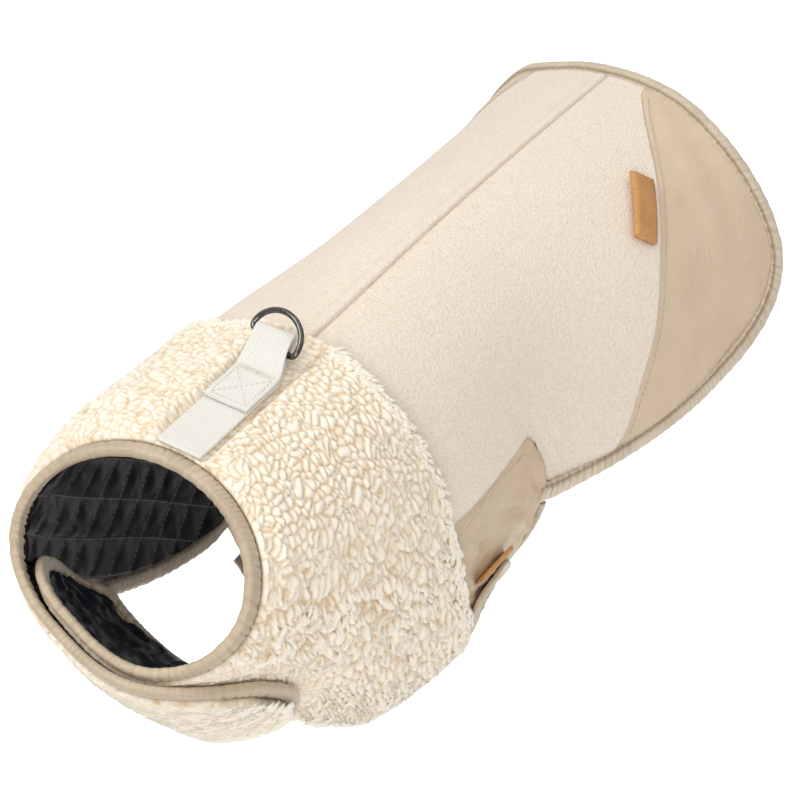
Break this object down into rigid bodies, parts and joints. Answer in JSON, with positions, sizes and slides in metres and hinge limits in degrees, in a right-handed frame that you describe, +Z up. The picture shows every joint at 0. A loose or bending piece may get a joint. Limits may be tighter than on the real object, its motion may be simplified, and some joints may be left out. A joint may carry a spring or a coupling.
{
  "type": "dog winter coat",
  "caption": "Dog winter coat in its worn shape: fleece back, long-pile yoke with chest flaps, belly strap, quilted lining, gathered bindings and a leash ring on a webbing loop.",
  "frame": {"origin": "on the inner face of the back at the withers, on the centre-back seam, where the coat rests on the wearer", "axes": "+Z up; the coat's length runs along Y with the neck opening towards -Y and the tail edge towards +Y; +X is the wearer's left side"},
  "size_m": [0.236, 0.5302, 0.2483],
  "materials": {
    "fleece": "short-nap fleece",
    "pile": "long-pile sherpa",
    "panel": "smooth softshell, slight sheen",
    "binding": "gathered satin binding",
    "lining": "quilted satin lining",
    "webbing": "cotton webbing",
    "leather": "plain leather",
    "metal": "dark gunmetal wire, polished"
  },
  "bodies": {
    "coat": {"yoke_left": "pile", "yoke_right": "pile", "back_left": "fleece", "back_right": "fleece", "rump_left": "panel", "rump_right": "panel", "side_left": "panel", "side_right": "panel", "lining_left": "lining", "lining_right": "lining", "flap_lining_left": "lining", "flap_lining_right": "lining", "back_seam_fell": "fleece", "front_binding_left": "binding", "front_binding_right": "binding", "belly_binding_left": "binding", "belly_binding_right": "binding", "hem_binding": "binding", "leash_webbing": "webbing", "rump_label": "leather", "pull_tab": "leather"},
    "ring": {"leash_ring": "metal"}
  },
  "joints": [
    {"name": "ring_swing", "type": "hinge", "parent": "coat", "child": "ring", "pos_m": [-0.00426, -0.04014, 0.01288], "axis": [0.9387, -0.3113, -0.1484], "range_deg": [0, 75]}
  ]
}
